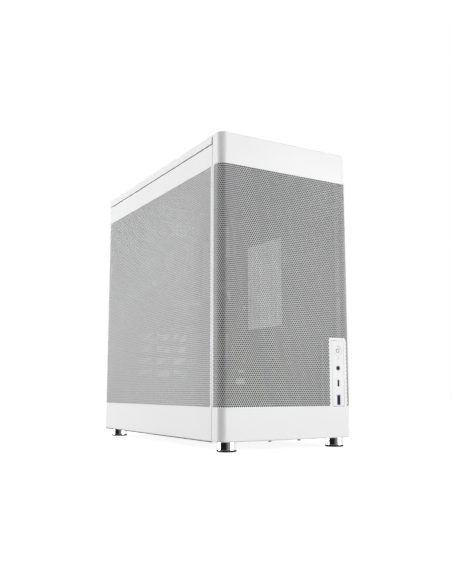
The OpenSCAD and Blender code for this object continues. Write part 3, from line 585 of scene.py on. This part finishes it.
def make_front_panel():
    """The front panel's sheet runs round both corners; u is measured along it from the middle."""
    flat = X_OUT - CORNER_R
    arc = CORNER_R * math.pi / 2
    end = flat + arc + body_high.y - Y_FRONT - CORNER_R
    u_edges = (-end + BEND_R, end - BEND_R)
    v_edges = (Z_LOW + BEND_R, Z_TOP - BEND_R)
    sheet, lines, hole, centres = perforated(inner(u_edges), (Z_LOW + BAND, Z_TOP - BAND),
                                             PITCH, FRONT_HOLE_R)
    _, high = finish_edges(sheet, lines, u_edges, v_edges, (2.5 * MM, 2.5 * MM),
                           (0.4 * MM, 4 * MM), (-end, end))
    gap = 0.4 * MM
    cut_rectangle(sheet, hole, centres, (strip_low.x - gap, strip_right + gap),
                  (strip_low.z - gap, strip_high.z + gap), 0.8 * MM)
    sheet.add_faces([high])

    def round_corners(u, z, inwards):
        turn = np.clip((abs(u) - flat) / CORNER_R, 0, math.pi / 2)
        straight = np.maximum(abs(u) - flat - arc, 0)
        radius = CORNER_R - inwards
        x = np.sign(u) * (np.minimum(abs(u), flat) + radius * np.sin(turn))
        y = Y_FRONT + CORNER_R - radius * np.cos(turn) + straight
        return np.stack([x, y, z], 1)

    def place(u, v, depth):
        return round_corners(*folded(u, v, u_edges, v_edges, depth))

    show_sheet("front_sheet", sheet, place, 2, "front_panel", "front_panel")
    bends = [flat + arc * k / 6 for k in range(7)]
    make_front_filter(round_corners, [-u for u in bends[::-1]] + bends, end - 2 * MM)


def make_front_filter(round_corners, bends, end):
    """Woven nylon filter behind the front sheet: threads along and across, clear of the strip."""
    half = FILTER_THREAD / 2
    near, far = SKIN + 0.25 * MM, SKIN + 0.45 * MM
    low, high = Z_LOW + BAND - 3 * MM, Z_TOP - BAND + 3 * MM
    gap = 0.8 * MM
    x0, x1, z1 = strip_low.x - gap, strip_right + gap, strip_high.z + gap
    points, faces = [], []

    def thread(us, zs, across):
        """A thread through stations; across is how its width lies, along u or along z."""
        u, z = np.asarray(us, float), np.asarray(zs, float)
        du, dz = (half, 0) if across == "u" else (0, half)
        rings = np.stack([round_corners(u + du * a, z + dz * a, depth)
                          for a, depth in ((-1, near), (1, near), (1, far), (-1, far))], 1)
        first = sum(len(p) for p in points)
        count = len(u)
        points.append(rings.reshape(-1, 3))
        k = first + 4 * np.arange(count - 1)[:, None] + np.arange(4)[None, :]
        n = first + 4 * np.arange(count - 1)[:, None] + (np.arange(4)[None, :] + 1) % 4
        faces.append(np.stack([k, n, n + 4, k + 4], -1).reshape(-1, 4))
        last = first + 4 * (count - 1)
        faces.append([[first + 3, first + 2, first + 1, first],
                      [last, last + 1, last + 2, last + 3]])

    for u in np.arange(-end, end, FILTER_STEP):
        thread([u, u], [z1 if x0 < u < x1 else low, high], "u")
    for z in np.arange(low, high, FILTER_STEP):
        spans = [(-end, x0), (x1, end)] if z < z1 else [(-end, end)]
        for start, stop in spans:
            inside = [u for u in bends if start < u < stop]
            thread([start] + inside + [stop], [z] * (len(inside) + 2), "z")
    mesh = mesh_from_faces("front_filter", np.vstack(points),
                           [np.vstack([np.asarray(f) for f in faces])])
    show("front_filter", mesh, NYLON, "front_panel", "filter_nylon")


def make_top_cover():
    """The top cover's perforated sheet, with its filter beneath."""
    u_edges = (-X_OUT + BEND_R, X_OUT - BEND_R)
    v_edges = (Y_SEAM + BEND_R, Y_BACK - BEND_R)
    zone = (-X_OUT + 14 * MM, X_OUT - 14 * MM), (Y_SEAM + 16 * MM, Y_BACK - 16 * MM)
    sheet, lines, _, _ = perforated(*zone, PITCH, HOLE_R)
    skirt = Z_TOP - top_low.z - BEND_R
    finish_edges(sheet, lines, u_edges, v_edges, (skirt, skirt), (1 * MM, skirt),
                 (-X_OUT, X_OUT))

    def place(u, v, depth):
        x, y, inwards = folded(u, v, u_edges, v_edges, depth)
        return np.stack([x, y, Z_TOP - inwards], 1)

    show_sheet("top_sheet", sheet, place, 2, "top_cover", "top_cover")
    (x0, x1), (y0, y1) = zone
    z = Z_TOP - SKIN
    boxes("top_filter", [((x0 - 4 * MM, y0 - 4 * MM, z - 0.9 * MM),
                          (x1 + 4 * MM, y1 + 4 * MM, z - 0.1 * MM))],
          NYLON, "top_cover", "filter_nylon")


# ---------------------------------------------------------------- studio

def area_light(name, towards, distance, size, power, target=(0, 0, 0.2)):
    """A soft light that stands in the given direction and faces the target."""
    light = bpy.data.lights.new(name, "AREA")
    light.shape = "SQUARE"
    light.size = size
    light.energy = power
    obj = bpy.data.objects.new(name, light)
    bpy.context.scene.collection.objects.link(obj)
    way = Vector(towards).normalized()
    obj.location = Vector(target) + way * distance
    obj.rotation_euler = way.to_track_quat("Z", "Y").to_euler()
    return obj


def make_world():
    """White behind the tower, soft fill from all sides, and a dark card for the bright metal."""
    world = bpy.data.worlds.new("studio")
    bpy.context.scene.world = world
    world.use_nodes = True
    nodes, links = world.node_tree.nodes, world.node_tree.links
    out = nodes["World Output"]
    seen = nodes["Background"]
    seen.inputs["Color"].default_value = (1, 1, 1, 1)
    fill = nodes.new("ShaderNodeBackground")
    fill.inputs["Strength"].default_value = 0.34
    card = nodes.new("ShaderNodeBackground")
    path = nodes.new("ShaderNodeLightPath")
    place = nodes.new("ShaderNodeTexCoord")
    around = nodes.new("ShaderNodeTexGradient")
    around.gradient_type = "RADIAL"
    links.new(place.outputs["Generated"], around.inputs["Vector"])
    ramp = nodes.new("ShaderNodeValToRGB")
    elements = ramp.color_ramp.elements
    elements[0].color = (0.01, 0.01, 0.01, 1)
    elements[1].color = (0.01, 0.01, 0.01, 1)
    for position, grey in ((0.14, 0.01), (0.18, 0.12), (0.27, 0.35), (0.37, 0.7), (0.46, 1.0),
                           (0.86, 1.0), (0.94, 0.3)):
        element = elements.new(position)
        element.color = (grey, grey, grey, 1)
    links.new(around.outputs["Fac"], ramp.inputs["Fac"])
    links.new(ramp.outputs["Color"], card.inputs["Color"])
    first, second = nodes.new("ShaderNodeMixShader"), nodes.new("ShaderNodeMixShader")
    links.new(path.outputs["Is Glossy Ray"], first.inputs["Fac"])
    links.new(fill.outputs["Background"], first.inputs[1])
    links.new(card.outputs["Background"], first.inputs[2])
    links.new(path.outputs["Is Camera Ray"], second.inputs["Fac"])
    links.new(first.outputs["Shader"], second.inputs[1])
    links.new(seen.outputs["Background"], second.inputs[2])
    links.new(second.outputs["Shader"], out.inputs["Surface"])


def make_floor():
    """A bright floor that the camera sees and that lights nothing."""
    mesh = bpy.data.meshes.new("floor")
    mesh.from_pydata([(-40, -40, 0), (40, -40, 0), (40, 40, 0), (-40, 40, 0)], [], [(0, 1, 2, 3)])
    floor = bpy.data.objects.new("floor", mesh)
    bpy.context.scene.collection.objects.link(floor)
    mat = bpy.data.materials.new("floor")
    mat.use_nodes = True
    shader = mat.node_tree.nodes["Principled BSDF"]
    shader.inputs["Base Color"].default_value = (0.4, 0.4, 0.4, 1)
    shader.inputs["Roughness"].default_value = 0.9
    shader.inputs["Specular IOR Level"].default_value = 0.0
    shader.inputs["Emission Color"].default_value = (1, 1, 1, 1)
    shader.inputs["Emission Strength"].default_value = 0.9
    mesh.materials.append(mat)
    floor.visible_diffuse = False
    floor.visible_glossy = False


def make_camera():
    """The camera that was fitted to the photo."""
    camera = bpy.data.cameras.new("camera")
    camera.lens = 42.46
    camera.sensor_width = 36
    obj = bpy.data.objects.new("camera", camera)
    bpy.context.scene.collection.objects.link(obj)
    obj.location = (-0.5028, -0.8993, 0.073)
    obj.rotation_euler = (math.radians(90 + 8.09), 0, math.radians(-30.07))
    bpy.context.scene.camera = obj


def make_studio():
    """World, floor and three soft lights."""
    make_world()
    make_floor()
    area_light("light_left", (-0.86, 0.5, 0.1), 3.6, 2.0, 124)
    area_light("light_front", (0.5, -0.86, 0.1), 3.6, 2.0, 119)
    area_light("light_back", (0.7, 0.7, 0.6), 3.6, 2.0, 50)
    scene = bpy.context.scene
    scene.view_settings.view_transform = "Standard"


# ---------------------------------------------------------------- details

def make_strip_shroud():
    """A dark sleeve round the strip's white housing, which would show through the mesh."""
    wall, front, back = 0.3 * MM, strip_low.y + 1.6 * MM, strip_high.y - 2.3 * MM
    x0, x1, z0, z1 = strip_low.x, strip_right, strip_low.z, strip_high.z
    boxes("strip_shroud", [
        ((x0 - wall, front, z0 - wall), (x0, back, z1 + wall)),
        ((x1, front, z0 - wall), (x1 + wall, back, z1 + wall)),
        ((x0, front, z0 - wall), (x1, back, z0)),
        ((x0, front, z1), (x1, back, z1 + wall)),
    ], BLACK_PLASTIC, "chassis", "black_plastic")


def make_strip():
    """The sockets in the front strip, with their tongues, and the power sign."""
    face = strip_low.y
    for node, wall, tongue, back, inside, slot_name in (
            ("usb_a_port", 0.3, 3.6, 10, BLUE, "blue_plastic"),
            ("usb_c_port", 0.25, 1.6, 3, BLACK_PLASTIC, "black_plastic")):
        low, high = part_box(node)
        centre = (low + high) / 2
        y0 = face + 0.15 * MM
        wall *= MM
        # The shells' darkened nickel is painted shade for the dark socket openings
        boxes(f"{node}_shell", [
            ((low.x, y0, low.z), (low.x + wall, high.y, high.z)),
            ((high.x - wall, y0, low.z), (high.x, high.y, high.z)),
            ((low.x + wall, y0, low.z), (high.x - wall, high.y, low.z + wall)),
            ((low.x + wall, y0, high.z - wall), (high.x - wall, high.y, high.z)),
        ], DARKENED_NICKEL, "chassis", "socket_steel", node)
        boxes(f"{node}_lining", [
            ((low.x + wall, y0 + back * MM, low.z + wall),
             (high.x - wall, y0 + (back + 1) * MM, high.z - wall))],
            BLACK_PLASTIC, "chassis", "black_plastic")
        shift = 0.4 * MM if node == "usb_a_port" else 0
        half = tongue * MM / 2
        boxes(f"{node}_tongue", [
            ((centre.x + shift - half, y0 + 1.6 * MM, low.z + 1.1 * MM),
             (centre.x + shift + half, y0 + back * MM, high.z - 1.1 * MM))],
            inside, "chassis", slot_name, bevel=0.1 * MM)
    make_strip_shroud()
    jack = middle("audio_jack")
    turned("jack_lining", [(jack.x, face + 3 * MM, jack.z)], (0, -1, 0),
           [(0, 0), (1.75 * MM, 0), (1.75 * MM, 0.4 * MM), (0, 0.4 * MM)],
           BLACK_PLASTIC, "chassis", "black_plastic", sides=24)
    button_low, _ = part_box("power_button")
    centre = middle("power_button")
    y = button_low.y - 0.03 * MM
    points, faces = [], []
    steps = 40
    for k in range(steps + 1):
        angle = math.radians(90 + 32 + (360 - 64) * k / steps)
        for radius in (1.9 * MM, 2.9 * MM):
            points.append((centre.x + radius * math.cos(angle), y,
                           centre.z + radius * math.sin(angle)))
        if k:
            n = 2 * k
            faces.append((n - 2, n - 1, n + 1, n))
    first = len(points)
    bar = 0.5 * MM
    points += [(centre.x + dx, y, centre.z + dz) for dx, dz in
               ((-bar, 0.9 * MM), (bar, 0.9 * MM), (bar, 3.1 * MM), (-bar, 3.1 * MM))]
    faces.append((first, first + 1, first + 2, first + 3))
    mesh_piece("power_sign", points, faces, GREY_PLASTIC, "power_button", "grey_plastic")


def make_gap_shade_strips():
    """Dark strips under the side panels: painted shade for the shadow gap along their lower edges."""
    for name, side in (("left_gap_shade_strip", -1), ("right_gap_shade_strip", 1)):
        x0, x1 = sorted((side * (X_OUT - 0.15 * MM), side * (X_OUT - 2 * MM)))
        low = (x0, Y_SEAM + 1 * MM, Z_LOW - 0.7 * MM)
        high = (x1, Y_BACK - 1 * MM, Z_LOW - 0.02 * MM)
        # Black strip as painted shade in the gap under the panel's lower edge
        boxes(name, [(low, high)], BLACK_PLASTIC, "chassis", "black_plastic")


def make_feet():
    """Feet turned from bright metal, with a groove above their rubber pads."""
    low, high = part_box("foot_rings")
    _, pad_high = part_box("foot_pads")
    radius = 12.25 * MM
    pad = 12 * MM
    spots = [(x, y, 0) for x in (low.x + radius, high.x - radius)
             for y in (low.y + radius, high.y - radius)]
    top = high.z
    turned("foot_shells", spots, (0, 0, 1), [
        (9 * MM, top), (9 * MM, low.z + 1 * MM), (radius - 1 * MM, low.z + 0.2 * MM),
        (radius - 0.5 * MM, low.z + 0.2 * MM), (radius, low.z + 0.7 * MM),
        (radius, top - 0.4 * MM), (radius - 0.4 * MM, top), (9 * MM, top),
    ], CHROME, "chassis", "foot_chrome", "foot_rings", sides=72)
    turned("foot_soles", spots, (0, 0, 1), [
        (0, 0), (pad - 0.8 * MM, 0), (pad, 0.6 * MM), (pad, pad_high.z - 0.1 * MM),
        (radius - 1.2 * MM, pad_high.z + 0.3 * MM), (0, pad_high.z + 0.3 * MM),
    ], RUBBER, "chassis", "foot_rubber", "foot_pads", sides=72)


# ---------------------------------------------------------------- leads inside the case

def smooth(route, steps):
    """A Catmull-Rom curve through the route's points, with the given steps between two of them."""
    route = np.array(route, float)
    ends = 2 * route[0] - route[1], 2 * route[-1] - route[-2]
    whole = np.vstack([ends[0], route, ends[1]])
    points = [route[0]]
    for a, b, c, d in zip(whole, whole[1:], whole[2:], whole[3:]):
        for t in np.arange(1, steps + 1) / steps:
            points.append(0.5 * (2 * b + (c - a) * t + (2 * a - 5 * b + 4 * c - d) * t ** 2
                                 + (3 * b - a - 3 * c + d) * t ** 3))
    return np.array(points)


def make_lead(name, node, radius, route):
    """A sleeved lead inside the case, on its route from part.scad, which is in millimetres."""
    points = smooth(route, 6) * MM
    curve = bpy.data.curves.new(name, "CURVE")
    curve.dimensions = "3D"
    curve.bevel_depth = radius * MM
    curve.bevel_resolution = 4
    curve.use_fill_caps = True
    spline = curve.splines.new("POLY")
    spline.points.add(len(points) - 1)
    for target, point in zip(spline.points, points):
        target.co = (*point, 1)
    spline.use_smooth = True
    curve.materials.append(SLEEVE)
    lead = bpy.data.objects.new(name, curve)
    bpy.context.scene.collection.objects.link(lead)
    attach(lead, "chassis")
    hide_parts(node)


def make_leads():
    """The harness between the power supply, the board, the drive and the front strip."""
    make_lead("board_power_lead", "power_cables", 5, [
        (24, 13, 250), (16, 12, 244), (14, 4, 225), (20, -6, 190), (26, -10, 150), (26, -8, 110),
        (24, 8, 76), (24, 30, 62), (24, 50, 60)])
    make_lead("processor_power_lead", "power_cables", 3.2, [
        (24, 121, 329), (14, 120, 336), (8, 112, 350), (8, 80, 360), (8, 30, 360), (8, -12, 352),
        (10, -26, 320), (12, -28, 250), (12, -26, 150), (8, -14, 90), (6, 10, 66), (6, 30, 60),
        (6, 50, 60)])
    make_lead("drive_power_lead", "drive_cables", 2.4, [
        (-30, -12, 21.7), (-30, 12, 23.2), (-34, 26, 28), (-34, 38, 36), (-34, 50, 40)])
    make_lead("drive_data_lead", "drive_cables", 2.4, [
        (8, -12, 21.7), (8, 8, 23.2), (12, 16, 36), (26, 0, 70), (34, -8, 110), (34, -8, 150),
        (34, -2, 172), (36, 6, 178), (41, 13, 178)])
    make_lead("usb_lead", "front_io_leads", 2, [
        (77.8, -173.4, 70), (77.8, -160, 70), (76, -140, 74), (76, -80, 82), (76, -20, 90),
        (74, 16, 94), (68, 32, 94), (56, 36, 94), (46, 42, 98), (36, 52, 106), (32, 60, 116),
        (41, 63, 121)])
    make_lead("audio_lead", "front_io_leads", 1.6, [
        (77.8, -173.4, 100), (77.8, -160, 100), (84, -140, 96), (84, -80, 96), (84, -20, 98),
        (80, 26, 98), (68, 44, 98), (56, 47, 98), (46, 54, 98), (34, 66, 104), (32, 76, 110),
        (41, 79, 114.5)])


# ---------------------------------------------------------------- the scene

dress_cad_nodes()
make_strip()
make_leads()
# Painted shade along the side panels' lower edges
make_gap_shade_strips()
make_feet()
make_side_panel("left_sheet", -1, "left_panel", "left_panel")
make_side_panel("right_sheet", 1, "right_panel", "right_panel")
make_front_panel()
make_top_cover()
make_camera()
make_studio()
